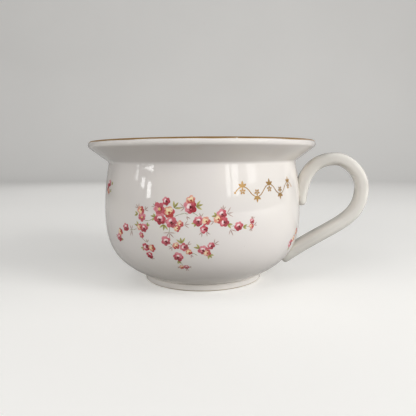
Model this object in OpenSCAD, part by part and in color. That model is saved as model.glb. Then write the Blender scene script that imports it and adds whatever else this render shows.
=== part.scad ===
// Chamber pot: a slip-cast bowl on a foot ring, with a strap handle luted to its side.
// Millimetres. The pot's axis is Z, the table is Z = 0 and the handle lies along +X.

/* [Bowl] */
// Diameter across the lip
rim_d = 210; // [196:1:226]
// Height of the lip's crest above the table
rim_h = 129; // [120:1:140]
// Thickness of the rounded lip
lip_t = 6.8; // [5:0.2:9]
// Diameter of the neck, where the belly ends and the flare starts
neck_d = 175; // [156:0.2:176]
// Height of the neck
neck_h = 108.5; // [98:0.5:112]
// Radius of the hollow fillet under the flare
neck_fillet = 3; // [1.5:0.5:6]
// Diameter of the fullest part of the belly
belly_d = 184; // [178:1:200]
// Height of the fullest part of the belly
belly_h = 63; // [52:1:74]
// Length over which the belly's curve holds upright below its fullest part
belly_hold = 33; // [20:1:44]
// Angle at which the belly leaves the base
base_slope = 28; // [16:1:38]
// Length over which the belly's curve holds that angle
base_hold = 27; // [12:1:36]
// Thickness of the wall
wall = 5; // [3.5:0.25:6.5]
// Thickness of the floor
floor_t = 6; // [4:0.25:9]
// Distance from the edge of the base in to the flat of the floor
floor_inset = 15; // [10:1:30]

/* [Foot ring] */
// Diameter of the ring at the table
foot_d = 112; // [96:1:126]
// Height of the ring
foot_h = 6.3; // [4:0.1:10]
// Width of the ring in section
foot_w = 7; // [4:0.25:12]
// Radius of the ring's rounded edges at the table
foot_edge = 1.4; // [0.5:0.1:1.8]
// How much the ring's outer face leans out towards the bowl
foot_lean = 0.6; // [0:0.1:2]
// Ledge of bare base left outside the ring
foot_ledge = 0.4; // [0:0.1:2]

/* [Handle] */
// Height of the upper end, which lies down along the wall
upper_end_h = 70; // [60:0.5:80]
// Height at which the middle of the lower end meets the wall
lower_end_h = 21; // [17:0.5:30]
// Depth of the arch's top edge below the lip's crest
arch_drop = 11; // [4:0.5:18]
// Distance from the belly out to the arch's top
arch_out = 31; // [26:0.5:42]
// Distance from the belly out to the grip's outer edge
grip_out = 61; // [52:0.5:76]
// Height of the grip's outermost point
grip_h = 86; // [74:0.5:94]
// Angle at which the upper end rises along the wall
upper_angle = 85; // [78:0.5:94]
// Slope of the straight lower arm
lower_slope = 36; // [26:0.5:46]
// Length over which the handle follows the wall at its upper end
upper_hold = 16.5; // [16:0.5:34]
// Length over which the arch stays level towards the bowl
arch_hold_in = 25; // [10:0.5:26]
// Length over which the arch stays level towards the grip
arch_hold_out = 12; // [3:0.5:16]
// Length over which the grip stays upright above its outermost point
grip_hold_up = 12.5; // [8:0.5:24]
// Length over which the grip stays upright below its outermost point
grip_hold_down = 32; // [16:0.5:36]
// Length of the straight stretch of the lower arm
lower_hold = 54.5; // [36:0.5:64]
// Thickness at the upper end, half of which the wall takes
upper_t = 12.6; // [10:0.2:18]
// Thickness at the top of the arch
arch_t = 11.8; // [8:0.2:18]
// Thickness at the grip
grip_t = 11.6; // [8:0.2:18]
// Thickness at the lower end
lower_t = 12; // [12:0.2:22]
// Width at the upper end
upper_w = 22; // [14:0.5:30]
// Width at the top of the arch
arch_w = 18; // [12:0.5:26]
// Width at the grip
grip_w = 18; // [12:0.5:26]
// Width at the lower end
lower_w = 23; // [14:0.5:30]
// Rounding of the two blunt ends
end_round = 3.5; // [1:0.25:5]
// Squareness of the section: 2 is an ellipse, and more is a strap with rounded edges
strap_power = 3; // [2:0.1:4]

/* [Slip joints] */
// Thickness of the slip between the handle and the wall
slip_t = 0.6; // [0.3:0.05:1.2]
// How far the slip shows round the handle's ends
slip_lip = 0.9; // [0.3:0.1:2]

/* [Gilt line] */
// Width of the gilt line over the lip
gilt_w = 4; // [1.5:0.1:6]
// Angle on the lip at which its lower edge runs, where 0 is outermost and 90 is the crest
gilt_edge = 38; // [10:1:70]
// Thickness of the gilding
gilt_t = 0.2; // [0.1:0.05:0.4]

/* [Hidden] */
$fn = 96;

// Facets: steps along a long curve, round a fillet and round the lip, and sides of the handle's section
long_steps = 14;
short_steps = 6;
lip_steps = 16;
path_steps = 14;
strap_sides = 24;

belly_r = belly_d / 2;
lip_r = lip_t / 2;
floor_z = foot_h + floor_t;
base_r = foot_d / 2 + foot_lean + foot_ledge;
lip_centre = [rim_d / 2 - lip_r, rim_h - lip_r];

// The belly above its fullest part is an arc about a point on the level of that part
neck_in = belly_r - neck_d / 2;
neck_up = neck_h - belly_h;
side_r = (neck_up * neck_up + neck_in * neck_in) / (2 * neck_in);
side_centre = [belly_r - side_r, belly_h];
neck_turn = asin(neck_up / side_r);
neck_centre = side_centre + (side_r + neck_fillet) * [cos(neck_turn), sin(neck_turn)];

// The flare runs between the fillet at the neck and the round of the lip, which ends inside past its crest
crest = 90;
flare_out = tangent_heading(neck_centre, lip_centre, neck_fillet + lip_r);
flare_in = tangent_heading(lip_centre, neck_centre, neck_fillet + wall - lip_r);
lip_end = flare_in + 270;

// Control points of the belly below its fullest part, outside and inside
heel = [[base_r, foot_h],
        [base_r, foot_h] + base_hold * [cos(base_slope), sin(base_slope)],
        [belly_r, belly_h - belly_hold],
        [belly_r, belly_h]];
inner_heel = [[belly_r - wall, belly_h],
              [belly_r - wall, belly_h - belly_hold],
              [base_r - floor_inset + base_hold, floor_z],
              [base_r - floor_inset, floor_z]];

function on_curve(p, t) =
    let (s = 1 - t)
    s * s * s * p[0] + 3 * s * s * t * p[1] + 3 * s * t * t * p[2] + t * t * t * p[3];
function curve_heading(p, t) =
    let (s = 1 - t)
    let (d = s * s * (p[1] - p[0]) + 2 * s * t * (p[2] - p[1]) + t * t * (p[3] - p[2]))
    atan2(d[1], d[0]);
function arc(centre, r, from, to, steps, first = 0) =
    [for (i = [first : steps])
        let (a = from + (to - from) * i / steps)
        centre + r * [cos(a), sin(a)]];

// Heading of the line that leaves one circle and meets another, with the lead between their sides
function tangent_heading(from, to, lead) =
    let (d = to - from)
    atan2(d[1], d[0]) - asin(lead / norm(d));

// Outside of the bowl from the edge of its base to the crest of its lip, grown outwards
function heel_outside(grow) =
    [for (i = [0 : long_steps - 1])
        let (t = i / long_steps, h = curve_heading(heel, t))
        on_curve(heel, t) + grow * [sin(h), -cos(h)]];
function outside(grow) =
    concat(heel_outside(grow),
           arc(side_centre, side_r + grow, 0, neck_turn, long_steps),
           arc(neck_centre, neck_fillet - grow, neck_turn + 180, flare_out + 90, short_steps, 1),
           arc(lip_centre, lip_r + grow, flare_out - 90, crest, lip_steps));
function inside() =
    concat(arc(lip_centre, lip_r, crest, lip_end, short_steps, 1),
           arc(neck_centre, neck_fillet + wall, lip_end, neck_turn + 180, short_steps),
           arc(side_centre, side_r - wall, neck_turn, 0, long_steps, 1),
           [for (i = [1 : long_steps]) on_curve(inner_heel, i / long_steps)]);

// Radius of the wall at a height on the belly
function wall_r(z) = lookup(z, [for (p = outside(0)) if (p[1] <= neck_h) [p[1], p[0]]]);

// The handle's middle line, in three curves from its upper end to its lower end
upper_start = [wall_r(upper_end_h + end_round), upper_end_h + end_round];
arch_top = [belly_r + arch_out, rim_h - arch_drop - arch_t / 2];
grip_mid = [belly_r + grip_out - grip_t / 2, grip_h];
lower_finish = [wall_r(lower_end_h), lower_end_h];
rise = [upper_start,
        upper_start + upper_hold * [cos(upper_angle), sin(upper_angle)],
        arch_top - [arch_hold_in, 0],
        arch_top];
turn = [arch_top, arch_top + [arch_hold_out, 0], grip_mid + [0, grip_hold_up], grip_mid];
fall = [grip_mid,
        grip_mid - [0, grip_hold_down],
        lower_finish + lower_hold * [cos(lower_slope), sin(lower_slope)],
        lower_finish];

// A station is its place, its heading, and the strap's thickness and width there
function stations(curve, from, to, first) =
    [for (i = [first : path_steps])
        let (t = i / path_steps)
        [on_curve(curve, t), curve_heading(curve, t), from + (to - from) * t]];
function blunt_end(station, way) =
    [for (a = [25, 50, 75])
        let (h = station[1], back = 2 * end_round * (1 - cos(a)))
        [station[0] + way * end_round * sin(a) * [cos(h), sin(h)], h, station[2] - [back, back]]];
function turned_round(list) = [for (i = [len(list) - 1 : -1 : 0]) list[i]];
rise_stations = stations(rise, [upper_t, upper_w], [arch_t, arch_w], 0);
turn_stations = stations(turn, [arch_t, arch_w], [grip_t, grip_w], 1);
fall_stations = stations(fall, [grip_t, grip_w], [lower_t, lower_w], 1);
upper_stations = concat(turned_round(blunt_end(rise_stations[0], -1)), rise_stations);
lower_stations = concat(fall_stations, blunt_end(fall_stations[path_steps - 1], 1));

function rounded(x) = sign(x) * pow(abs(x), 2 / strap_power);
function strap_ring(station, grow) =
    [for (i = [0 : strap_sides - 1])
        let (a = 360 * i / strap_sides, h = station[1])
        let (up = (station[2][0] / 2 + grow) * rounded(cos(a)))
        let (side = (station[2][1] / 2 + grow) * rounded(sin(a)))
        [station[0][0] - up * sin(h), side, station[0][1] + up * cos(h)]];

// Solid through the strap's sections at a list of stations
module strap(list, grow) {
    last = len(list) - 1;
    polyhedron(
        [for (s = list) each strap_ring(s, grow)],
        concat(
            [[for (i = [0 : strap_sides - 1]) i]],
            [for (r = [0 : last - 1], i = [0 : strap_sides - 1], half = [0, 1])
                let (a = r * strap_sides + i, b = r * strap_sides + (i + 1) % strap_sides)
                half == 0 ? [a, a + strap_sides, b] : [b, a + strap_sides, b + strap_sides]],
            [[for (i = [strap_sides - 1 : -1 : 0]) last * strap_sides + i]]));
}

// Everything within the bowl's outside, grown outwards
module within_bowl(grow) {
    rotate_extrude()
        polygon(concat([[0, heel_outside(grow)[0][1]]], outside(grow), [[0, rim_h + grow]]));
}

// The layer of slip on the wall under a stretch of the handle
module slip_under(list) {
    intersection() {
        strap(list, slip_lip);
        difference() {
            within_bowl(slip_t);
            within_bowl(0);
        }
    }
}

module bowl() {
    color("#f2ede1")
        rotate_extrude()
            polygon(concat([[0, foot_h]], outside(0), inside(), [[0, floor_z]]));
}

module foot_ring() {
    outer = foot_d / 2;
    inner = outer - foot_w;
    color("#e9e0cf")
        rotate_extrude()
            polygon(concat(
                arc([outer - foot_edge, foot_edge], foot_edge, -90, 0, short_steps),
                [[outer + foot_lean, foot_h], [inner, foot_h]],
                arc([inner + foot_edge, foot_edge], foot_edge, 180, 270, short_steps)));
}

module handle() {
    color("#f3ead8")
        difference() {
            strap(concat(upper_stations, turn_stations, lower_stations), 0);
            within_bowl(slip_t);
        }
}

module upper_slip_joint() {
    color("#e6dccb")
        slip_under(upper_stations);
}

module lower_slip_joint() {
    color("#e6dccb")
        slip_under(lower_stations);
}

module gilt_rim_line() {
    gilt_end = min(gilt_edge + gilt_w / lip_r * 180 / PI, lip_end);
    color("#b8903f")
        rotate_extrude()
            polygon(concat(
                arc(lip_centre, lip_r + gilt_t, gilt_edge, gilt_end, lip_steps),
                arc(lip_centre, lip_r, gilt_end, gilt_edge, lip_steps)));
}

bowl();
foot_ring();
handle();
upper_slip_joint();
lower_slip_joint();
gilt_rim_line();
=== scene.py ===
# %% [markdown]
# # A glazed chamber pot
# The pot is one cast bowl with a foot ring, a strap handle stuck to its side with slip, a gold
# line on the lip and printed rose sprays. Each of these is made below as a piece of its own, at
# its true size in metres, in the place of the plain solid that it dresses. The pot's axis is Z,
# the table is Z = 0 and the handle lies along +X.

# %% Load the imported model
import math
import random

import bmesh
import bpy
from mathutils import Matrix, Vector, noise
from mathutils.bvhtree import BVHTree
from mathutils.geometry import interpolate_bezier


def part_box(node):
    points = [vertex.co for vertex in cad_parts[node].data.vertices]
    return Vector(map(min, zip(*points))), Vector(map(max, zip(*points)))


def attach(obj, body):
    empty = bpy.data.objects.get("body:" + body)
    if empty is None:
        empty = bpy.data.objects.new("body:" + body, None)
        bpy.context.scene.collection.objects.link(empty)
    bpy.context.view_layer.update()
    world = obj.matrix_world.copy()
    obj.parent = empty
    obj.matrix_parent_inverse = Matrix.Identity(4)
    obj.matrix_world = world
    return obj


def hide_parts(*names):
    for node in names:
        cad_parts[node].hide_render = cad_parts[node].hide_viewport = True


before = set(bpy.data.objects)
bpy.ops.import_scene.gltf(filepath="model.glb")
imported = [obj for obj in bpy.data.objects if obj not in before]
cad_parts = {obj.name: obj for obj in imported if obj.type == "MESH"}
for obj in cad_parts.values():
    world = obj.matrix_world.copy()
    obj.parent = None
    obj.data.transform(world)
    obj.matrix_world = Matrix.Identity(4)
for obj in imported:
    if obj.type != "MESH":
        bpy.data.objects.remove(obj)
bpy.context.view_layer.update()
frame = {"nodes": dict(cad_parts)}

MM = 0.001
print("nodes to dress:", ", ".join(frame["nodes"]))

# %% [markdown]
# ## The camera
# A camera can be set by eye, but here it was worked out: the rim, the belly and the foot are
# circles, and how much each one flattens in the picture gives the lens and the place it was
# taken from. It stands 40 cm away at about the height of the handle's arch and looks down a
# little, through a lens whose focal length equals the sensor's width. It comes first because
# later steps send rays through its pixels.

# %% Camera
PICTURE = 416
EYE = Vector((62.8, -396.5, 113.9)) * MM
HEADING, PITCH, ROLL = math.radians(8.27), math.radians(-6.88), math.radians(-0.44)
SENSOR_W = 36

lens = bpy.data.cameras.new("camera")
lens.sensor_width = SENSOR_W
lens.lens = SENSOR_W
camera = bpy.data.objects.new("camera", lens)
bpy.context.scene.collection.objects.link(camera)
camera.matrix_world = (Matrix.Translation(EYE) @ Matrix.Rotation(HEADING, 4, "Z")
                       @ Matrix.Rotation(math.pi / 2 + PITCH, 4, "X") @ Matrix.Rotation(ROLL, 4, "Z"))
bpy.context.scene.camera = camera
print("camera at", [round(c, 3) for c in EYE])

# %% [markdown]
# ## Shader maths that reads like maths
# Materials are networks of nodes, and long ones are hard to read when each node is wired by
# hand. A small class stands for one output of a node, and its arithmetic lays down Math nodes,
# so a mask can be written as `1 - worn * 0.5`. A second class holds a material and adds every
# other kind of node through one method.

# %% Wires and finishes
class Wire:
    """An output of a node, which can be reckoned with."""

    def __init__(self, finish, socket):
        self.finish, self.socket = finish, socket

    def reckon(self, operation, left, right):
        return self.finish.add("ShaderNodeMath", {"operation": operation}, {0: left, 1: right})

    def __add__(self, other):
        return self.reckon("ADD", self, other)

    def __sub__(self, other):
        return self.reckon("SUBTRACT", self, other)

    def __rsub__(self, other):
        return self.reckon("SUBTRACT", other, self)

    def __mul__(self, other):
        return self.reckon("MULTIPLY", self, other)

    def __abs__(self):
        return self.reckon("ABSOLUTE", self, 0)

    __radd__, __rmul__ = __add__, __mul__


class Finish:
    """A material, or the air round the pot, with one shader to feed."""

    def __init__(self, owner, shader, constants):
        self.owner = owner
        owner.use_nodes = True
        self.tree = owner.node_tree
        self.shader = self.tree.nodes[shader]
        self.feed(constants)

    def join(self, value, socket):
        if isinstance(value, Wire):
            self.tree.links.new(value.socket, socket)
        else:
            socket.default_value = value

    def feed(self, values):
        for name, value in values.items():
            self.join(value, self.shader.inputs[name])

    def add(self, kind, settings, inputs, out=0):
        node = self.tree.nodes.new(kind)
        for name, value in settings.items():
            setattr(node, name, value)
        for name, value in inputs.items():
            self.join(value, node.inputs[name])
        return Wire(self, node.outputs[out])

    def place(self):
        return self.add("ShaderNodeTexCoord", {}, {}, "Object")

    def height(self):
        return self.add("ShaderNodeSeparateXYZ", {}, {0: self.place()}, "Z")

    def cloud(self, scale, detail=2.0):
        return self.add("ShaderNodeTexNoise", {},
                        {"Vector": self.place(), "Scale": scale, "Detail": detail})

    def step(self, value, low, high):
        return self.add("ShaderNodeMapRange", {"interpolation_type": "SMOOTHSTEP"},
                        {"Value": value, "From Min": low, "From Max": high})

    def blend(self, amount, start, end):
        return self.add("ShaderNodeMix", {"data_type": "RGBA"}, {0: amount, 6: start, 7: end}, 2)

    def bump(self, height, depth):
        return self.add("ShaderNodeBump", {}, {"Strength": 1.0, "Distance": depth, "Height": height})


def surface(name, constants):
    return Finish(bpy.data.materials.new(name), "Principled BSDF", constants)


def paint(code):
    """Linear colour of a six-figure sRGB code."""
    parts = [int(code[i:i + 2], 16) / 255 for i in (0, 2, 4)]
    return tuple(p / 12.92 if p <= 0.04045 else ((p + 0.055) / 1.055) ** 2.4 for p in parts) + (1.0,)


print("ivory in linear light:", [round(c, 3) for c in paint("ece8e0")])

# %% [markdown]
# ## The glaze
# The pot is white earthenware under a thick, clear, faintly ivory glaze. One flat colour would
# look like plastic, so the glaze drifts a little between a warm and a cool white, turns greyer
# round a crease, as painted crease shade on top of the glaze's own pooling there, and carries a
# few iron specks no bigger than a pin prick. A faint swell in its surface bends the reflections,
# as on anything dipped by hand.

# %% Glaze
GLAZE_IOR, COAT, COAT_ROUGH = 1.52, 0.35, 0.02
DRIFT_SCALE, DRIFT_FROM, DRIFT_TO = 16, 0.35, 0.65
POOL_SHADE_SCALE, POOL_SHADE_LEAST, POOL_SHADE_VARIES = 60, 0.35, 0.5
SPECK_CELLS, SPECK_SIZE, SPECK_DEPTH = 110, 0.035, 0.55
SPECK_FROM, SPECK_TO = 0.86, 0.88
GLOSS_SCALE, GLOSS_LEAST, GLOSS_VARIES = 45, 0.04, 0.05
SWELL_SCALE, RIPPLE_SCALE, RIPPLE, SWELL_DEPTH = 36, 240, 0.12, 0.10 * MM
IRON = paint("6b5a48")


def glaze(name, warm, cool, pooled_and_shaded, crease, spread):
    """A glaze with painted crease shade over its pooling, given the crease's height and spread."""
    finish = surface(name, {"IOR": GLAZE_IOR, "Coat Weight": COAT, "Coat Roughness": COAT_ROUGH})
    tone = finish.blend(finish.step(finish.cloud(DRIFT_SCALE), DRIFT_FROM, DRIFT_TO), warm, cool)
    # Painted shade: the tone darkens towards the crease, over the glaze's own pooling.
    pool_and_shade = 1 - finish.step(abs(finish.height() - crease), 0, spread)
    tone = finish.blend(pool_and_shade * (POOL_SHADE_LEAST + POOL_SHADE_VARIES * finish.cloud(POOL_SHADE_SCALE)), tone, pooled_and_shaded)
    cells = {"Vector": finish.place(), "Scale": SPECK_CELLS}
    near = 1 - finish.step(finish.add("ShaderNodeTexVoronoi", {}, cells, "Distance"), 0, SPECK_SIZE)
    chosen = finish.add("ShaderNodeSeparateColor", {},
                        {0: finish.add("ShaderNodeTexVoronoi", {}, cells, "Color")}, "Red")
    speck = near * finish.step(chosen, SPECK_FROM, SPECK_TO)
    swell = finish.cloud(SWELL_SCALE) + RIPPLE * finish.cloud(RIPPLE_SCALE)
    finish.feed({"Base Color": finish.blend(speck * SPECK_DEPTH, tone, IRON),
                 "Roughness": GLOSS_LEAST + GLOSS_VARIES * finish.cloud(GLOSS_SCALE, 3),
                 "Normal": finish.bump(swell, SWELL_DEPTH)})
    return finish


FOOT_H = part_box("bowl")[0].z
BOWL_POOL_SHADE = 4 * MM
# cfc8bd is the darker crease tone: painted shade where the bowl meets the foot, with some glaze pooling.
bowl_glaze = glaze("bowl_glaze", paint("ede8e2"), paint("e9e4e0"), paint("cfc8bd"), FOOT_H, BOWL_POOL_SHADE)
print("glaze nodes:", len(bowl_glaze.tree.nodes))

# %% [markdown]
# ## A pen for turned shapes
# The bowl was cast in a mould that was turned on a lathe, so half of its outline says all. The
# outline could be a list of points, but a potter's drawing is made of lines, arcs and easy
# curves. This pen draws with mesh operators: a vertex is extruded for a line, spun about a
# centre for an arc, and stepped along a Bezier curve for the rest. A full spin then turns it.

# %% Outline pen
WELD = 0.001 * MM


class Outline:
    """A wire in the XZ plane, to be turned about Z."""

    def __init__(self, start):
        self.bm = bmesh.new()
        self.tip = self.bm.verts.new(start)

    def line(self, end, steps=1):
        start = self.tip.co.copy()
        for i in range(steps):
            self.tip = bmesh.ops.extrude_vert_indiv(self.bm, verts=[self.tip])["verts"][0]
            self.tip.co = start.lerp(end, (i + 1) / steps)

    def arc(self, centre, turn, steps):
        swept = bmesh.ops.spin(self.bm, geom=[self.tip], cent=centre, axis=(0, -1, 0),
                               angle=turn, steps=steps)
        self.tip = next(g for g in swept["geom_last"] if isinstance(g, bmesh.types.BMVert))

    def curve(self, lead, arrive, end, steps):
        for point in interpolate_bezier(self.tip.co, lead, arrive, end, steps + 1)[1:]:
            self.line(point)

    def turned(self, sides):
        bmesh.ops.spin(self.bm, geom=self.bm.verts[:] + self.bm.edges[:], cent=(0, 0, 0),
                       axis=(0, 0, 1), angle=math.tau, steps=sides, use_merge=True)
        bmesh.ops.remove_doubles(self.bm, verts=self.bm.verts, dist=WELD)
        bmesh.ops.recalc_face_normals(self.bm, faces=self.bm.faces)
        return self.bm


def at(r, z):
    return Vector((r, 0, z))


def toward(angle, length=1.0):
    return Vector((math.cos(angle), 0, math.sin(angle))) * length


def keep(bm, name, finish, stands_for=(), crisp=40):
    """Makes a piece of a bmesh, which rides on the pot."""
    mesh = bpy.data.meshes.new(name)
    bm.to_mesh(mesh)
    bm.free()
    mesh.shade_smooth()
    mesh.set_sharp_from_angle(angle=math.radians(crisp))
    mesh.materials.append(finish.owner)
    piece = bpy.data.objects.new(name, mesh)
    bpy.context.scene.collection.objects.link(piece)
    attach(piece, "root")
    if stands_for:
        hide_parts(*stands_for)
    print(name, "-", len(mesh.polygons), "faces")


print("pen ready")

# %% [markdown]
# ## The bowl
# The belly swells from the foot to its fullest part at half height, draws in to a neck and turns
# out sharply into a flat flare with a rounded lip. Side and flare meet in a small hollow. The
# inside follows the outside at the wall's thickness. The outline runs from the middle of the
# base, out, up, over the lip and down to the floor.

# %% Bowl outline
RIM_R, RIM_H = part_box("bowl")[1].x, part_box("bowl")[1].z
LIP_R = 3.4 * MM
NECK_R, NECK_H, NECK_FILLET = 87.5 * MM, 108.5 * MM, 3 * MM
BELLY_R, BELLY_H, BELLY_HOLD = 92 * MM, 63 * MM, 33 * MM
BASE_R, BASE_SLOPE, BASE_HOLD = 57 * MM, math.radians(28), 27 * MM
WALL, FLOOR_T, FLOOR_INSET = 5 * MM, 6 * MM, 15 * MM

lip = at(RIM_R - LIP_R, RIM_H - LIP_R)
neck_in, neck_up = BELLY_R - NECK_R, NECK_H - BELLY_H
side_r = (neck_up ** 2 + neck_in ** 2) / (2 * neck_in)
side = at(BELLY_R - side_r, BELLY_H)
neck_turn = math.asin(neck_up / side_r)
neck = side + toward(neck_turn, side_r + NECK_FILLET)


def tangent(start, end, lead):
    """Heading of the line that leaves one circle and meets another."""
    run = end - start
    return math.atan2(run.z, run.x) - math.asin(lead / run.length)


flare_out = tangent(neck, lip, NECK_FILLET + LIP_R)
flare_in = tangent(lip, neck, NECK_FILLET + WALL - LIP_R)
lip_start, lip_end = flare_out - math.pi / 2, flare_in + 1.5 * math.pi
print("flare rises at", round(math.degrees(flare_out), 1), "degrees")

# %% Bowl
TURNED_SIDES = 192
floor_z = FOOT_H + FLOOR_T
inner_flat = BASE_R - FLOOR_INSET
pen = Outline(at(0, FOOT_H))
pen.line(at(BASE_R, FOOT_H), steps=6)
pen.curve(at(BASE_R, FOOT_H) + toward(BASE_SLOPE, BASE_HOLD), at(BELLY_R, BELLY_H - BELLY_HOLD),
          at(BELLY_R, BELLY_H), steps=32)
pen.arc(side, neck_turn, steps=20)
pen.arc(neck, flare_out - neck_turn - math.pi / 2, steps=10)
pen.line(lip + toward(lip_start, LIP_R), steps=6)
pen.arc(lip, lip_end - lip_start, steps=24)
pen.line(neck + toward(lip_end, NECK_FILLET + WALL), steps=6)
pen.arc(neck, neck_turn + math.pi - lip_end, steps=12)
pen.arc(side, -neck_turn, steps=16)
pen.curve(at(BELLY_R - WALL, BELLY_H - BELLY_HOLD), at(inner_flat + BASE_HOLD, floor_z),
          at(inner_flat, floor_z), steps=28)
pen.line(at(0, floor_z), steps=6)
bowl_mesh = pen.turned(TURNED_SIDES)
wall = BVHTree.FromBMesh(bowl_mesh)
keep(bowl_mesh, "bowl_dressed", bowl_glaze, ["bowl"])

# %% [markdown]
# ## The foot ring
# A low ring carries the pot. Its outer face is nearly upright and its edges at the table are
# rounded. Glaze would stick to the kiln shelf, so the potter wipes the ring bare where it
# stands, and that strip shows as rough, sandy clay with a little dirt. The strip is a mask on
# height, not a piece, because it has no thickness.

# %% Glaze of the foot ring
FOOT_POOL_SHADE = 1.6 * MM
BARE_FROM, BARE_TO = 0.88 * MM, 1.1 * MM
BARE_WANDER, BARE_SCALE, SAND_SCALE = 0.5 * MM, 120, 900
FOOT_GLOSS, CLAY_ROUGHER = 0.1, 0.7

# cdc5b9 is painted shade in the crease under the bowl, with some glaze pooling.
foot_glaze = glaze("foot_glaze", paint("f3ede6"), paint("eee9e3"), paint("cdc5b9"), FOOT_H, FOOT_POOL_SHADE)
wiped_to = foot_glaze.height() + BARE_WANDER * (foot_glaze.cloud(BARE_SCALE) - 0.5)
bare = 1 - foot_glaze.step(wiped_to, BARE_FROM, BARE_TO)
glazed_tone = foot_glaze.shader.inputs["Base Color"].links[0].from_socket
clay = foot_glaze.blend(foot_glaze.cloud(SAND_SCALE, 4), paint("d9cdb6"), paint("b7a68c"))
foot_glaze.feed({"Base Color": foot_glaze.blend(bare, Wire(foot_glaze, glazed_tone), clay),
                 "Roughness": FOOT_GLOSS + CLAY_ROUGHER * bare, "Coat Weight": COAT * (1 - bare)})
print("foot glaze nodes:", len(foot_glaze.tree.nodes))

# %% Foot ring
FOOT_R, FOOT_W, FOOT_EDGE, FOOT_LEAN = 56 * MM, 7 * MM, 1.4 * MM, 0.6 * MM
FOOT_BREAK = 0.5 * MM

inner_r = FOOT_R - FOOT_W
pen = Outline(at(inner_r, FOOT_H))
pen.line(at(inner_r, FOOT_EDGE), steps=4)
pen.arc(at(inner_r + FOOT_EDGE, FOOT_EDGE), math.pi / 2, steps=8)
pen.line(at(FOOT_R - FOOT_EDGE, 0), steps=3)
pen.arc(at(FOOT_R - FOOT_EDGE, FOOT_EDGE), math.pi / 2, steps=8)
pen.line(at(FOOT_R + FOOT_LEAN, FOOT_H - FOOT_BREAK), steps=4)
pen.arc(at(FOOT_R + FOOT_LEAN - FOOT_BREAK, FOOT_H - FOOT_BREAK), math.pi / 2, steps=5)
pen.line(at(inner_r, FOOT_H), steps=3)
keep(pen.turned(TURNED_SIDES), "foot_ring_dressed", foot_glaze, ["foot_ring"])

# %% [markdown]
# ## The handle
# The handle is a strap of clay that lies down along the wall at its upper end, arches out,
# turns down past the knuckles and comes back as a straight arm to the lower belly. It could be
# a curve with a bevel, but its width and thickness change on the way. So one rounded section is
# extruded from station to station, and each new ring is moved by the difference between the two
# stations. Both ends are blunt and are closed by rings that shrink to a point.

# %% Handle path
UPPER_END_H, LOWER_END_H, END_ROUND = 70 * MM, 21 * MM, 3.5 * MM
UPPER_RISE, LOWER_SLOPE = math.radians(85), math.radians(36)
ARCH_TOP, GRIP = at(123, 112.1) * MM, at(147.2, 86) * MM
UPPER_HOLD, LOWER_HOLD = 16.5 * MM, 54.5 * MM
ARCH_HOLD_IN, ARCH_HOLD_OUT = at(25, 0) * MM, at(12, 0) * MM
GRIP_HOLD_UP, GRIP_HOLD_DOWN = at(0, 12.5) * MM, at(0, 32) * MM
STRETCHES = {"upper": (12.6 * MM, 22 * MM), "arch": (11.8 * MM, 18 * MM),
             "grip": (11.6 * MM, 18 * MM), "lower": (12 * MM, 23 * MM)}
FAR = 0.3


def wall_radius(point):
    """Radius of the bowl's outside at a point's height, towards that point."""
    out = Vector((point.x, point.y, 0)).normalized()
    hit = wall.ray_cast(out * FAR + Vector((0, 0, point.z)), -out)[0]
    return Vector((hit.x, hit.y)).length


def on_wall(z):
    return at(wall_radius(at(1, z)), z)


upper_start, lower_finish = on_wall(UPPER_END_H + END_ROUND), on_wall(LOWER_END_H)
PATH = [
    (upper_start, upper_start + toward(UPPER_RISE, UPPER_HOLD), ARCH_TOP - ARCH_HOLD_IN, ARCH_TOP),
    (ARCH_TOP, ARCH_TOP + ARCH_HOLD_OUT, GRIP + GRIP_HOLD_UP, GRIP),
    (GRIP, GRIP - GRIP_HOLD_DOWN, lower_finish + toward(LOWER_SLOPE, LOWER_HOLD), lower_finish)]
for end, place in (("upper", upper_start), ("lower", lower_finish)):
    print(end, "end at", [round(c / MM, 1) for c in place])

# %% Handle stations
PATH_STEPS = 26
END_ANGLES = [math.radians(a) for a in (20, 40, 60, 75)]
END_SHRINK = (0.75, 0.5, 0.25, 0.02)


def station(place, heading, thick, wide):
    """Matrix that carries the unit section to a place on the path."""
    columns = (Vector((0, 1, 0)) * wide / 2, toward(heading + math.pi / 2, thick / 2),
               toward(heading), place)
    return Matrix([[c[i] for c in columns] for i in range(3)] + [[0, 0, 0, 1]])


stations = []
sizes = list(STRETCHES.values())
for (a, b, c, d), start, end in zip(PATH, sizes, sizes[1:]):
    points = interpolate_bezier(a, b, c, d, PATH_STEPS + 1)
    for i, point in enumerate(points):
        if i == 0 and stations:
            continue
        run = points[min(i + 1, PATH_STEPS)] - points[max(i - 1, 0)]
        run = b - a if i == 0 else d - c if i == PATH_STEPS else run
        t = i / PATH_STEPS
        stations.append((point, math.atan2(run.z, run.x), start[0] + (end[0] - start[0]) * t,
                         start[1] + (end[1] - start[1]) * t))


def blunt(end, way):
    """Stations that round off an end and close it."""
    place, heading, thick, wide = end
    rings = []
    for a in END_ANGLES:
        less = 2 * END_ROUND * (1 - math.cos(a))
        further = place + toward(heading, way * END_ROUND * math.sin(a))
        rings.append((further, heading, thick - less, wide - less))
    place, heading, thick, wide = rings[-1]
    return rings + [(place, heading, thick * s, wide * s) for s in END_SHRINK]


stations = blunt(stations[0], -1)[::-1] + stations + blunt(stations[-1], 1)
print("stations:", len(stations))

# %% [markdown]
# The strap runs on into the wall at both ends, as it does before the clay is trimmed. Each line
# along the strap is then cut back to the point where it comes out of the wall, so the handle
# ends in two neat footprints that fit the belly.

# %% Handle
STRAP_SIDES, STRAP_POWER = 64, 3


def ring_edges(ring):
    return [next(e for e in v.link_edges if e.other_vert(v) is w)
            for v, w in zip(ring, ring[1:] + ring[:1])]


def extruded(bm, ring):
    """Extrudes a ring of vertices and gives the new ring in the same order."""
    made = bmesh.ops.extrude_edge_only(bm, edges=ring_edges(ring))["geom"]
    fresh = {g for g in made if isinstance(g, bmesh.types.BMVert)}
    return [next(e.other_vert(v) for e in v.link_edges if e.other_vert(v) in fresh) for v in ring]


def outside_by(point):
    return Vector((point.x, point.y)).length - wall_radius(point)


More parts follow.
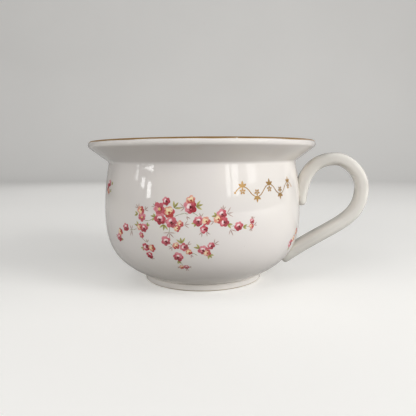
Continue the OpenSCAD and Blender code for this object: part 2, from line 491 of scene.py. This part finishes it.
bm = bmesh.new()
ring = bmesh.ops.create_circle(bm, segments=STRAP_SIDES, radius=1)["verts"]
for v in ring:
    v.co = [math.copysign(abs(c) ** (2 / STRAP_POWER), c) for c in v.co]
carried = Matrix.Identity(4)
rings = []
for stop in stations:
    ring = extruded(bm, ring) if rings else ring
    bmesh.ops.transform(bm, matrix=station(*stop) @ carried.inverted(), verts=ring)
    carried = station(*stop)
    rings.append(ring)
strap_lines = [list(line) for line in zip(*rings)]
print("lines along the strap:", len(strap_lines))

# %% Trim the handle to the wall
TRIM_WELD = 0.01 * MM
HANDLE_POOL_SHADE_H, HANDLE_POOL_SHADE = LOWER_END_H - 7 * MM, 4 * MM


def trimmed(line):
    """Cuts a line back to the wall from its first vertex, and gives the cut and the next point."""
    first = next(i for i, v in enumerate(line) if i and outside_by(v.co) > 0)
    out, back = line[first].co, line[first - 1].co - line[first].co
    cut = wall.ray_cast(out, back.normalized())[0]
    for v in line[:first]:
        v.co = cut
    return cut.copy(), line[min(first + 2, len(line) - 1)].co.copy()


upper_print = [trimmed(line) for line in strap_lines]
lower_print = [trimmed(line[::-1]) for line in strap_lines]
bmesh.ops.remove_doubles(bm, verts=bm.verts, dist=TRIM_WELD)
bmesh.ops.holes_fill(bm, edges=[e for e in bm.edges if e.is_boundary], sides=0)
bmesh.ops.recalc_face_normals(bm, faces=bm.faces)
# d4cab8 is painted shade at the bottom of the handle's lower end, where it meets the wall, with some
# glaze pooling.
handle_glaze = glaze("handle_glaze", paint("eae6de"), paint("e6e3dc"), paint("d4cab8"),
                     HANDLE_POOL_SHADE_H, HANDLE_POOL_SHADE)
keep(bm, "handle_dressed", handle_glaze, ["handle"], crisp=60)

# %% [markdown]
# ## The slip joints
# Slip is clay thinned to a cream. It glues the handle to the wall, and what squeezes out is
# wiped into a small hollow fillet round each end. A bevel can't round a corner between two
# separate pieces, so the fillet is a thin ring of its own: its section is a curve that leaves
# the wall, bends towards the corner and ends on the handle.

# %% Slip fillets
FILLET, FILLET_STEPS, FILLET_WELD = 0.7 * MM, 5, 0.005 * MM
FILLET_VARIES, FILLET_NOISE = 0.25, 0.15
SLIP_SUNK, SLIP_POOL_SHADE = 0.2 * MM, 4 * MM
# c6b999 is painted shade in the slip round the bottom of the handle's upper end, with some glaze
# pooling.
slip_glaze = glaze("slip_glaze", paint("e2dccf"), paint("ddd6c8"), paint("c6b999"),
                   UPPER_END_H, SLIP_POOL_SHADE)


def slip_fillet(name, footprint, stands_for):
    """A hollow ring of slip round a footprint, which pairs each cut with a point further along."""
    middle = sum((cut for cut, _ in footprint), Vector()) / len(footprint)
    rows = [[] for _ in range(FILLET_STEPS + 2)]
    for i, (cut, beyond) in enumerate(footprint):
        normal = wall.find_nearest(cut)[1]
        along = footprint[(i + 1) % len(footprint)][0] - footprint[i - 1][0]
        away = normal.cross(along).normalized()
        away = away if away.dot(cut - middle) > 0 else -away
        size = FILLET * (1 + FILLET_VARIES * noise.noise(cut / MM * FILLET_NOISE))
        foot = wall.find_nearest(cut + away * size)[0]
        top = cut + (beyond - cut).normalized() * size
        for step in range(FILLET_STEPS + 1):
            t = step / FILLET_STEPS
            rows[step].append((1 - t) ** 2 * foot + 2 * t * (1 - t) * cut + t ** 2 * top)
        rows[-1].append(cut - normal * SLIP_SUNK)
    bm = bmesh.new()
    ring = bmesh.ops.create_circle(bm, segments=len(footprint), radius=1)["verts"]
    for row in rows + rows[:1]:
        ring = ring if row is rows[0] and not bm.faces else extruded(bm, ring)
        for v, spot in zip(ring, row):
            v.co = spot
    bmesh.ops.remove_doubles(bm, verts=bm.verts, dist=FILLET_WELD)
    bmesh.ops.recalc_face_normals(bm, faces=bm.faces)
    keep(bm, name, slip_glaze, [stands_for], crisp=60)


slip_fillet("upper_slip_fillet", upper_print, "upper_slip_joint")
slip_fillet("lower_slip_fillet", lower_print, "lower_slip_joint")

# %% [markdown]
# ## The gold line
# A gilder draws a line of gold round the lip with the pot on a turntable. It is a film far too
# thin to measure, a little uneven at its edges, and rubbed through here and there by years of
# hands. The film is a shallow ring on the lip. Its edges wander with a smooth noise, and a worn
# mask in the material lets the glaze show through.

# %% Gold
WORN_SCALE, WORN_FINE_SCALE, WORN_FINE, WORN_EDGE = 70, 420, 0.35, 0.07
GOLD_TONE_SCALE, GOLD_METAL = 130, 0.65
GOLD_ROUGH, GOLD_ROUGHER, GOLD_ROUGH_SCALE = 0.24, 0.14, 300
BRUSH_SCALE, BRUSH_DEPTH = 500, 0.02 * MM
LINE_WEAR = 0.84


def gold(name, wear):
    """Gold film, rubbed through where a noise lies above a level of wear."""
    finish = surface(name, {})
    rubbed = finish.cloud(WORN_SCALE, 3) + WORN_FINE * finish.cloud(WORN_FINE_SCALE, 2)
    patch = finish.step(rubbed, wear, wear + WORN_EDGE)
    tone = finish.blend(finish.cloud(GOLD_TONE_SCALE), paint("deb676"), paint("c4945c"))
    finish.feed({"Base Color": finish.blend(patch, tone, paint("e6dfd0")),
                 "Metallic": GOLD_METAL * (1 - patch),
                 "Roughness": GOLD_ROUGH + GOLD_ROUGHER * finish.cloud(GOLD_ROUGH_SCALE),
                 "Normal": finish.bump(finish.cloud(BRUSH_SCALE), BRUSH_DEPTH)})
    return finish


gilding = gold("gilding", LINE_WEAR)
print("gold nodes:", len(gilding.tree.nodes))

# %% Gold line
GILT_START, GILT_END = math.radians(38), math.radians(105)
GILT_T, GILT_SIDES, GILT_STEPS = 0.06 * MM, 256, 14
WANDER, WANDER_NOISE = math.radians(5), 2.5
SWELL, SWELL_NOISE, SWELL_APART = 0.16, 6, Vector((9, 0, 0))

pen = Outline(lip + toward(GILT_START, LIP_R - GILT_T))
pen.line(lip + toward(GILT_START, LIP_R + GILT_T))
pen.arc(lip, GILT_END - GILT_START, GILT_STEPS)
pen.line(lip + toward(GILT_END, LIP_R - GILT_T))
pen.arc(lip, GILT_START - GILT_END, GILT_STEPS)
bm = pen.turned(GILT_SIDES)
gilt_mid = (GILT_START + GILT_END) / 2
for v in bm.verts:
    around = math.atan2(v.co.y, v.co.x)
    arm = at(Vector((v.co.x, v.co.y)).length, v.co.z) - lip
    spot = Vector((math.cos(around), math.sin(around), 0))
    turn = math.atan2(arm.z, arm.x)
    swell = SWELL * noise.noise(spot * SWELL_NOISE + SWELL_APART)
    turn += WANDER * noise.noise(spot * WANDER_NOISE) + swell * (turn - gilt_mid)
    moved = lip + toward(turn, arm.length)
    v.co = spot * moved.x + Vector((0, 0, moved.z))
keep(bm, "gold_line", gilding, ["gilt_rim_line"])

# %% [markdown]
# ## Enamel prints
# The roses are a transfer print: small flat shapes of enamel, fired on the glaze. A picture on
# the surface would do, but then its edges blur up close. Here each petal, leaf and twig is a
# patch of fourteen triangles with its own colours at its vertices. It is drawn flat, laid
# against the wall where a pixel's ray meets it, and each of its vertices is dropped onto the
# glaze along the wall's normal. Later layers lie a few thousandths of a millimetre higher.

# %% Print sheet
PATCH_SIDES = 14
LAYER = 0.004 * MM
REACH = 20 * MM
MIDDLE_PIXEL = (PICTURE / 2, PICTURE / 2)


def ray(x, y):
    """Where the ray through a pixel meets the wall, with the wall's normal there."""
    half = PICTURE / 2
    aim = camera.matrix_world.to_3x3() @ Vector(((x - half) / PICTURE, (half - y) / PICTURE, -1))
    return wall.ray_cast(EYE, aim.normalized())[:2]


class PrintSheet:
    """Thin patches of colour that lie on the wall."""

    def __init__(self):
        self.bm = bmesh.new()
        self.ink = self.bm.verts.layers.float_color.new("ink")

    def patch(self, seat, shape, root, tip, lift, pointed=0.0):
        """A round patch in a shape (middle, length, width, turn), coloured from root to tip."""
        middle, length, width, turn = shape
        local = Matrix.Translation(middle) @ Matrix.Rotation(turn, 4, "Z")
        out = seat.to_3x3().col[2]
        disc = bmesh.ops.create_circle(self.bm, cap_ends=True, cap_tris=True,
                                       segments=PATCH_SIDES, radius=1)
        for v in disc["verts"]:
            x, y = v.co.x, v.co.y
            t = (x + 1) / 2
            v[self.ink] = [a + (b - a) * t for a, b in zip(root, tip)]
            flat = local @ Vector((x * length / 2, y * width / 2 * (1 - pointed * x * x), 0))
            spot = seat @ flat
            hit, normal = wall.ray_cast(spot + out * REACH, -out)[:2]
            v.co = hit + normal * lift


def seat_at(hit, normal):
    """Matrix whose X runs right along the wall, Y up it and Z out of it."""
    across = Vector((-hit.y, hit.x, 0)).normalized()
    up = normal.cross(across)
    return Matrix([[c[i] for c in (across, up, normal, hit)] for i in range(3)] + [[0, 0, 0, 1]])


pixel = (ray(*MIDDLE_PIXEL)[0] - EYE).length / PICTURE
print("a pixel covers", round(pixel / MM, 2), "mm of the wall")

# %% [markdown]
# ### The roses
# A printed rose of this kind is a ring of dark outer petals, a ring of lighter ones, a cup with
# a pale shine on one side and a dark heart. Three recipes cover them all: a pink rose, a cream
# one edged in brick red, and an open one with a yellow eye. Each ring gives its count of petals,
# their length and width, how far out they sit, and their colours at the root and the tip.

# %% Rose recipes
CRIMSON, ROSE, BLUSH, SHINE = paint("b02a3c"), paint("d05767"), paint("e99ba4"), paint("fbeeec")
WINE, MAROON, CREAM, STRAW = paint("8a1a29"), paint("5a0a12"), paint("fbeec4"), paint("efc886")
BRICK, RUST, PEACH, LIME = paint("c54a44"), paint("a02f2b"), paint("efb497"), paint("d0c878")

RECIPES = {
    "pink": [(6, 0.88, 0.84, 0.62, [(CRIMSON, BLUSH), (CRIMSON, ROSE), (WINE, ROSE), (WINE, CRIMSON)]),
             (5, 0.72, 0.74, 0.42, [(ROSE, BLUSH), (CRIMSON, ROSE), (WINE, ROSE), (MAROON, CRIMSON)]),
             (4, 0.52, 0.58, 0.26, [(BLUSH, SHINE), (ROSE, BLUSH), (WINE, ROSE)])],
    "cream": [(6, 0.86, 0.82, 0.60, [(BRICK, PEACH), (BRICK, PEACH), (CRIMSON, ROSE), (RUST, BRICK)]),
              (5, 0.72, 0.74, 0.42, [(PEACH, CREAM), (BRICK, PEACH), (RUST, BRICK), (RUST, BRICK)]),
              (4, 0.54, 0.58, 0.24, [(STRAW, CREAM), (STRAW, CREAM), (BRICK, STRAW)])],
    "open": [(6, 1.00, 0.80, 0.54, [(CRIMSON, BLUSH), (CRIMSON, ROSE), (WINE, ROSE)]),
             (6, 0.66, 0.30, 0.46, [(ROSE, BLUSH), (WINE, ROSE)]),
             (5, 0.26, 0.22, 0.12, [(LIME, CREAM), (LIME, STRAW)])]}
HEARTS = {"pink": (SHINE, WINE, MAROON), "cream": (CREAM, BRICK, RUST), "open": (BLUSH, CRIMSON, STRAW)}
HEART_STROKES = ((0.30, 0.28, 0.56), (-0.42, 0.22, 0.70), (-0.11, 0.36, 0.46))
BLOSSOM_FLOOR, BLOSSOM_RISE = 0.05 * MM, 0.03 * MM
SHEEN_FROM, SHEEN_DRIFT = math.radians(140), 1.1
MOST_FADED = 0.24
PETAL_SHIFT, PETAL_SIZES, SHADE_SHIFT = 0.2, (0.82, 1.22), 0.2
dice = random.Random(11)


def spoke(turn, length):
    return Vector((math.cos(turn), math.sin(turn), 0)) * length


def blossom(sheet, seat, kind, radius, rank):
    """One rose, whose rank says which of its neighbours it overlaps."""
    lift = BLOSSOM_FLOOR + BLOSSOM_RISE * rank
    start = dice.uniform(0, math.tau)
    sheen = SHEEN_FROM + dice.uniform(-SHEEN_DRIFT, SHEEN_DRIFT)
    faded = dice.uniform(0, MOST_FADED)
    for count, length, width, out, tones in RECIPES[kind]:
        for i in range(count):
            turn = start + math.tau * (i + dice.uniform(-PETAL_SHIFT, PETAL_SHIFT)) / count
            size = radius * dice.uniform(*PETAL_SIZES)
            shade = (1 - math.cos(turn - sheen)) / 2 + dice.uniform(-SHADE_SHIFT, SHADE_SHIFT)
            pair = tones[max(0, min(len(tones) - 1, int(shade * len(tones))))]
            root, tip = [[a + (b - a) * faded for a, b in zip(tone, BLUSH)] for tone in pair]
            shape = (spoke(turn, out * radius), length * size, width * size, turn)
            sheet.patch(seat, shape, root, tip, lift)
            lift += LAYER
        start += math.pi / count
    for (out, length, width), tone in zip(HEART_STROKES, HEARTS[kind]):
        shape = (spoke(sheen, out * radius), length * radius, width * radius, sheen)
        sheet.patch(seat, shape, tone, tone, lift)
        lift += LAYER


print("recipes:", ", ".join(RECIPES))

# %% [markdown]
# ### Leaves, twigs and stems
# Olive leaves stand in fans of two or three behind the roses, and bare twig tips in a faded
# mauve do the same with thinner blades. Both are one patch drawn out to a point. The stems
# between the clusters are chains of short narrow patches.

# %% Fans and stems
OLIVES = [(paint("8e8a3e"), paint("c9c27e")), (paint("7a7631"), paint("b4ac62"))]
MAUVES = [(paint("ab897d"), paint("ceb6ac")), (paint("9d7a70"), paint("c0a298"))]
STEM = paint("98966a")
FAN_FLOOR, FAN_SPREAD = 0.03 * MM, math.radians(44)
BLADE_SHIFT, BLADE_SIZES, BLADE_POINT = 0.12, (0.85, 1.15), 0.7
OVERLAP = 0.8


def fan(sheet, seat, tones, heading, count, length, width):
    """A fan of pointed blades that spread from one root."""
    for i in range(count):
        shift = dice.uniform(-BLADE_SHIFT, BLADE_SHIFT)
        turn = heading + FAN_SPREAD * (i - (count - 1) / 2) + shift
        size = length * dice.uniform(*BLADE_SIZES)
        root, tip = tones[i % len(tones)]
        shape = (spoke(turn, size / 2), size, width, turn)
        sheet.patch(seat, shape, root, tip, FAN_FLOOR + LAYER * i, BLADE_POINT)


def stem(sheet, spots, width):
    """A chain of narrow patches from spot to spot."""
    for start, end in zip(spots, spots[1:]):
        hit, normal = wall.find_nearest((start + end) / 2)[:2]
        seat = seat_at(hit, normal)
        run = seat.inverted() @ end - seat.inverted() @ start
        shape = (Vector(), run.length + OVERLAP * width, width, math.atan2(run.y, run.x))
        sheet.patch(seat, shape, STEM, STEM, FAN_FLOOR - LAYER)


print("fans and stems ready")

# %% [markdown]
# ### The large spray
# The spray climbs from the left edge to a heavy cluster and trails off to the right, with two
# falls below. Each rose is given by the pixel at its middle and its radius in pixels, read off
# the picture, and each fan by the pixel at its root, its heading, its blades and their length.

# %% Where the large spray sits
PINK_AT = [(166, 201, 3.8), (160, 219, 5.5), (171, 222, 5.5), (190, 207, 5.8), (198.5, 221, 4.5),
           (204, 229.5, 3.5), (222, 214, 4.5), (224, 222, 4.5), (239, 226, 4.2), (252, 221, 2.4),
           (126, 227, 4.2), (119.6, 237, 4.2), (144, 228, 4.2), (146, 247, 4), (150, 255, 3.6),
           (166, 241, 4.6), (184, 247, 4), (178, 257, 4.6), (186.5, 267, 2.5), (203, 250, 4.5),
           (211, 246, 3.5)]
OPEN_AT = [(159, 209, 6), (142, 217, 4.2), (141.5, 235, 3)]
CREAM_AT = [(169, 212, 5.5), (180, 224, 3.3), (177, 228.5, 3.2), (141, 210, 4), (191, 200, 4.5),
            (206, 221, 4), (218, 219, 4), (251.5, 226, 2.5), (120.6, 231.5, 3.8), (140, 227, 3.5),
            (152, 248, 3.7), (176, 246, 3.5), (189, 252, 3), (182, 267, 2.5), (207, 253, 3.5)]
LEAVES_AT = [(174, 208, 45, 3, 6), (155.5, 217, 175, 3, 4.5), (164, 224.5, -95, 3, 5),
             (138, 214, 175, 2, 4), (139, 226, 140, 2, 5), (147, 226, 50, 2, 3),
             (144, 247.5, 215, 2, 3.5), (196, 206.5, 15, 3, 6), (181.5, 243.5, 95, 3, 5.5),
             (178.5, 260.5, -80, 2, 3.5), (196.5, 223, 215, 2, 4.5), (200, 248.5, 145, 2, 5),
             (121.5, 238, -45, 2, 3.5), (217, 216, 155, 2, 4.5), (227, 224, -25, 2, 5),
             (243, 227, 0, 2, 4), (208.5, 254.5, -50, 3, 5)]
TWIGS_AT = [(138.5, 208, 125, 3, 4.5), (145, 210, 40, 3, 4), (155.5, 206, 140, 3, 4),
            (184.5, 208, 175, 3, 5.5), (186.5, 216.5, -45, 2, 4), (184.5, 225, 10, 3, 4.5),
            (168.9, 232.5, -150, 2, 6), (169, 232.5, -45, 3, 7), (131.8, 229.7, 90, 2, 5),
            (131.8, 230, -100, 2, 6), (117.5, 235, 190, 2, 3), (147.3, 242, 80, 2, 3),
            (152, 257.5, -55, 2, 3), (172, 247.5, 215, 3, 4), (187.5, 245, 40, 2, 4),
            (191, 255, -60, 2, 3), (186.5, 269, -75, 2, 3), (189, 267, 0, 2, 2.5),
            (180, 267, 200, 2, 2.5), (201, 217, 85, 2, 4), (202, 232, -110, 2, 4.5),
            (206.5, 232, -55, 2, 4), (223, 210, 85, 3, 4), (227, 213.5, 10, 3, 6),
            (214, 221.5, 200, 2, 4), (230.5, 229.5, -60, 3, 5.5), (252.5, 219, 80, 3, 3),
            (254, 225, 20, 2, 3.5), (251, 228.5, -95, 3, 3), (214, 244, 35, 3, 5.5)]
STEMS_AT = [[(144.5, 220.3), (149, 220.8), (154.5, 217.5)],
            [(174.5, 216.5), (179, 214.6), (184.5, 213.3), (188, 214.3)],
            [(192.5, 212.8), (195, 213.8), (198, 216)], [(169.7, 227), (169.5, 230), (168.9, 233)],
            [(141.5, 237.5), (144, 240), (147.5, 242.5)],
            [(191, 254), (194, 253.5), (197.5, 255.5)],
            [(130, 229.8), (133.5, 229.6), (137, 228.8)],
            [(179.5, 261), (181.5, 263), (182.5, 265)],
            [(166.3, 203.8), (166.9, 206.5), (168, 208.5)], [(169.5, 243), (172, 245), (174, 246)],
            [(228, 225.5), (232, 226), (235.5, 226)], [(243.5, 226.5), (247, 226.5), (250, 226.5)]]
print("roses:", len(PINK_AT) + len(OPEN_AT) + len(CREAM_AT))

# %% Print the large spray
LEAF_W, TWIG_W, STEM_W = 2.1, 1.0, 0.6
ROSE_SPREAD, FAN_REACH = 1.12, 1.2
THINNEST, THIN_SCALE = 0.06, 1400
ENAMEL_SHINE, ENAMEL_ROUGH, ENAMEL_ROUGHER, ENAMEL_SCALE = 0.25, 0.1, 0.12, 300


def seat_of(x, y, about):
    """Seat at the pixel's spot on the wall, turned about the pot's axis."""
    spin = Matrix.Rotation(about, 3, "Z")
    hit, normal = ray(x, y)
    return seat_at(spin @ hit, spin @ normal)


def large_spray(sheet, about):
    """The whole spray, turned about the pot's axis."""
    for spots in STEMS_AT:
        stem(sheet, [seat_of(*spot, about).translation for spot in spots], STEM_W * pixel)
    for tones, fans, width in ((MAUVES, TWIGS_AT, TWIG_W), (OLIVES, LEAVES_AT, LEAF_W)):
        for x, y, heading, count, length in fans:
            fan(sheet, seat_of(x, y, about), tones, math.radians(heading), count,
                FAN_REACH * length * pixel, width * pixel)
    for rank, (kind, blossoms) in enumerate((("open", OPEN_AT), ("pink", PINK_AT), ("cream", CREAM_AT))):
        for x, y, radius in blossoms:
            blossom(sheet, seat_of(x, y, about), kind, ROSE_SPREAD * radius * pixel, rank)


front = PrintSheet()
large_spray(front, 0)
enamel = surface("rose_enamel", {"Specular IOR Level": ENAMEL_SHINE})
ink = enamel.add("ShaderNodeAttribute", {"attribute_name": "ink"}, {}, "Color")
thin = THINNEST * enamel.cloud(THIN_SCALE, 3)
enamel.feed({"Base Color": enamel.blend(thin, ink, paint("ece6dd")),
             "Roughness": ENAMEL_ROUGH + ENAMEL_ROUGHER * enamel.cloud(ENAMEL_SCALE)})
keep(front.bm, "front_spray", enamel)

# %% [markdown]
# ### The back and the sides
# Such prints come in pairs, so the same spray goes on the back, turned half round the pot. Small
# sprigs of three roses fill the sides, one near the left edge of the picture and one by the
# handle's lower end, and these too are repeated half round the pot.

# %% Print the back and the sprigs
SPRIGS_AT = [("pink", 109.9, 183.2, 4.2), ("pink", 108.3, 187, 4.8), ("cream", 108.8, 191, 3.8),
             ("pink", 290, 243.5, 5.2), ("cream", 293.2, 238.5, 4.4), ("cream", 296, 231, 4)]
SPRIG_LEAVES_AT = [(111.9, 185.5, 75, 2, 5), (110.2, 191, 15, 2, 4.5), (289, 247, -120, 2, 4.5),
                   (295, 235, 100, 2, 4)]
SPRIG_RANKS = 3

back = PrintSheet()
large_spray(back, math.pi)
keep(back.bm, "back_spray", enamel)

sprigs = PrintSheet()
for about in (0, math.pi):
    for x, y, heading, count, length in SPRIG_LEAVES_AT:
        fan(sprigs, seat_of(x, y, about), OLIVES, math.radians(heading), count,
            length * pixel, LEAF_W * pixel)
    for i, (kind, x, y, radius) in enumerate(SPRIGS_AT):
        blossom(sprigs, seat_of(x, y, about), kind, radius * pixel, i % SPRIG_RANKS)
keep(sprigs.bm, "side_sprigs", enamel)

# %% [markdown]
# ### A gilt vine
# By the handle the gilder has added a small ornament in the same gold as the lip. A plain
# running vine is drawn here: a stem that swings along the wall like a stream, with three leaves
# outside each bend and a small flower inside it. The stem's heading swings evenly to and fro
# along its length, which makes rounder bends than a sine wave has.

# %% Stem of the vine
GILT_FROM, GILT_TO = (235, 193), (291, 186)
BENDS, BEND_STEPS, SWING = 5, 16, math.radians(52)
GILT_STEM_W = 0.85 * MM


def seat_round(bearing, z):
    """Seat on the wall at a bearing from the axis and a height."""
    out = spoke(bearing, 1)
    return seat_at(*wall.ray_cast(out * FAR + Vector((0, 0, z)), -out)[:2])


vine_start, vine_end = [ray(*spot)[0] for spot in (GILT_FROM, GILT_TO)]
start_bearing, end_bearing = [math.atan2(spot.y, spot.x) for spot in (vine_start, vine_end)]
swings = [Vector()]
for i in range(BENDS * BEND_STEPS):
    swings.append(swings[-1] + spoke(SWING * math.cos(math.pi * (i + 0.5) / BEND_STEPS), 1))
vine_long = (end_bearing - start_bearing) * Vector((vine_start.x, vine_start.y)).length
stride = vine_long / swings[-1].x
seats = []
for swing in swings:
    t = swing.x / swings[-1].x
    seats.append(seat_round(start_bearing + (end_bearing - start_bearing) * t,
                            vine_start.z + (vine_end.z - vine_start.z) * t + swing.y * stride))
gilt = PrintSheet()
stem(gilt, [seat.translation for seat in seats], GILT_STEM_W)
print("vine is", round(vine_long / MM, 1), "mm long")

# %% Leaves and flowers of the vine
GILT_LEAF, GILT_LEAF_W = 4.8 * MM, 2.0 * MM
LEAF_TURNS = ((math.radians(35), 0.85), (math.radians(90), 1), (math.radians(145), 0.85))
STALK, PETALS, PETAL, PETAL_W, PETAL_OUT = 3.4 * MM, 5, 2.1 * MM, 1.5 * MM, 1.55 * MM
BUD = 1.6 * MM
GILT_TONE = paint("b98a3f")


def gilt_patch(seat, middle, length, width, turn, pointed=0.0):
    gilt.patch(seat, (middle, length, width, turn), GILT_TONE, GILT_TONE, FAN_FLOOR, pointed)


for bend, seat in enumerate(seats[BEND_STEPS // 2::BEND_STEPS]):
    outer = 1 if bend % 2 == 0 else -1
    for turn, size in LEAF_TURNS:
        blade = size * GILT_LEAF
        gilt_patch(seat, spoke(outer * turn, blade / 2), blade, GILT_LEAF_W, outer * turn, BLADE_POINT)
    heart = Vector((0, -outer * STALK, 0))
    stem(gilt, [seat @ Vector(), seat @ heart], GILT_STEM_W)
    for i in range(PETALS):
        turn = math.tau * i / PETALS + outer * math.pi / 2
        gilt_patch(seat, heart + spoke(turn, PETAL_OUT), PETAL, PETAL_W, turn)
for seat in (seats[0], seats[-1]):
    gilt_patch(seat, Vector(), BUD, BUD, 0)
keep(gilt.bm, "gilt_vine", gilding)

# %% [markdown]
# ## The studio
# A plain pale sweep stands in for the table and the wall behind it: a floor that curves up into
# a backdrop, so that no edge cuts the picture. Its glow is only for the camera, so the floor is
# pale and yet throws little light up at the pot. The light comes from windows on both sides,
# stronger on the right, and from the pale walls round them. Each window is one or more panes
# that the glaze mirrors, and a soft key beside them that carries most of the light and leaves
# no highlight. A weak fill from behind keeps the back of the pot from going dark.

# %% Floor and backdrop
FLOOR_HALF, FLOOR_NEAR, FLOOR_FAR = 3.0, -2.5, 1.6
SWEEP_R, SWEEP_STEPS, BACK_H = 0.8, 24, 3.0
FLOOR_SHINE, FLOOR_GLOW = 0.25, 0.3
FLOOR_TONE_SCALE, FLOOR_ROUGH, FLOOR_ROUGHER, FLOOR_ROUGH_SCALE = 3, 0.55, 0.1, 30

bm = bmesh.new()
corners = bmesh.ops.create_grid(bm, x_segments=1, y_segments=1, size=1)["verts"]
stretch = Matrix.Diagonal((FLOOR_HALF, (FLOOR_FAR - FLOOR_NEAR) / 2, 1, 1))
bmesh.ops.transform(bm, matrix=stretch, verts=corners)
bmesh.ops.translate(bm, vec=(0, (FLOOR_FAR + FLOOR_NEAR) / 2, 0), verts=corners)
far_edge = [e for e in bm.edges if all(abs(v.co.y - FLOOR_FAR) < MM for v in e.verts)]
swept = bmesh.ops.spin(bm, geom=far_edge, cent=(0, FLOOR_FAR, SWEEP_R), axis=(1, 0, 0),
                       angle=math.pi / 2, steps=SWEEP_STEPS)
top_edge = [g for g in swept["geom_last"] if isinstance(g, bmesh.types.BMEdge)]
risen = bmesh.ops.extrude_edge_only(bm, edges=top_edge)["geom"]
risen = [g for g in risen if isinstance(g, bmesh.types.BMVert)]
bmesh.ops.translate(bm, vec=(0, 0, BACK_H), verts=risen)
bmesh.ops.recalc_face_normals(bm, faces=bm.faces)

studio = surface("studio_floor", {"Specular IOR Level": FLOOR_SHINE, "Emission Strength": FLOOR_GLOW})
direct, *reflected = [studio.add("ShaderNodeLightPath", {}, {}, way)
                      for way in ("Is Camera Ray", "Is Glossy Ray", "Is Transmission Ray")]
pale = studio.blend(studio.cloud(FLOOR_TONE_SCALE, 4), paint("eeedea"), paint("e8e7e4"))
studio.feed({"Base Color": studio.blend(sum(reflected, direct), paint("8f8c87"), pale),
             "Emission Color": studio.blend(direct, (0, 0, 0, 1), pale),
             "Roughness": FLOOR_ROUGH + FLOOR_ROUGHER * studio.cloud(FLOOR_ROUGH_SCALE)})
mesh = bpy.data.meshes.new("studio_sweep")
bm.to_mesh(mesh)
bm.free()
mesh.shade_smooth()
mesh.materials.append(studio.owner)
sweep = bpy.data.objects.new("studio_sweep", mesh)
bpy.context.scene.collection.objects.link(sweep)
print("sweep:", len(mesh.polygons), "faces")

# %% Lights
POT_MIDDLE = Vector((0, 0, 70)) * MM


def panel(name, bearing, height, distance, size, watts, mirrored=True):
    """A soft panel, by its bearing from the pot and its height above the horizon, in degrees."""
    lamp = bpy.data.lights.new(name, "AREA")
    lamp.shape, lamp.energy = "RECTANGLE", watts
    lamp.size, lamp.size_y = size
    holder = bpy.data.objects.new(name, lamp)
    holder.visible_glossy = mirrored
    bpy.context.scene.collection.objects.link(holder)
    a, e = math.radians(bearing), math.radians(height)
    out = Vector((math.cos(a) * math.cos(e), math.sin(a) * math.cos(e), math.sin(e)))
    holder.location = POT_MIDDLE + out * distance
    holder.rotation_euler = out.to_track_quat("Z", "Y").to_euler()


panel("right_key", -26, 22, 1.42, (0.5, 0.6), 8.9, mirrored=False)
panel("right_pane", -24.6, 16, 1.4, (0.26, 0.3), 0.41)
panel("right_wall", -6, 18, 1.6, (1.2, 1.2), 9.6, mirrored=False)
panel("right_casement", -44.8, 14, 1.5, (0.19, 0.46), 0.66)
panel("right_shutter", -52.9, 14, 1.5, (0.12, 0.46), 0.44)
panel("front_key", -49, 18, 1.52, (0.5, 0.6), 1.2, mirrored=False)
panel("left_key", -127, 20, 1.52, (0.5, 0.5), 6.0, mirrored=False)
panel("left_sky", -150, 50, 1.5, (0.8, 0.8), 2.6, mirrored=False)
panel("left_transom", -145, 16.4, 1.5, (0.36, 0.025), 0.2)
panel("left_shutter", -159, 12, 1.5, (0.1, 0.12), 0.1)
panel("left_casement", -149.5, 9.5, 1.5, (0.12, 0.12), 0.22)
panel("left_pane", -141, 7, 1.5, (0.13, 0.19), 0.44)
panel("left_wall", -172, 15, 1.6, (1.2, 1.2), 0.5)
panel("back_fill", 105, 30, 1.5, (1.2, 1.0), 3, mirrored=False)
print("lights:", len(bpy.data.lights))

# %% Air of the studio
AIR_FRONT, AIR_BACK = (0.285, 0.28, 0.278, 1), (0.03, 0.03, 0.03, 1)
FADE_FROM, FADE_TO = -0.9, 0.5

air = Finish(bpy.data.worlds.new("studio_air"), "Background", {})
look = air.add("ShaderNodeTexCoord", {}, {}, "Generated")
behind = air.add("ShaderNodeSeparateXYZ", {}, {0: look}, "Y")
air.feed({"Color": air.blend(air.step(behind, FADE_FROM, FADE_TO), AIR_FRONT, AIR_BACK)})
bpy.context.scene.world = air.owner
bpy.context.scene.view_settings.view_transform = "Standard"
print("air nodes:", len(air.tree.nodes))
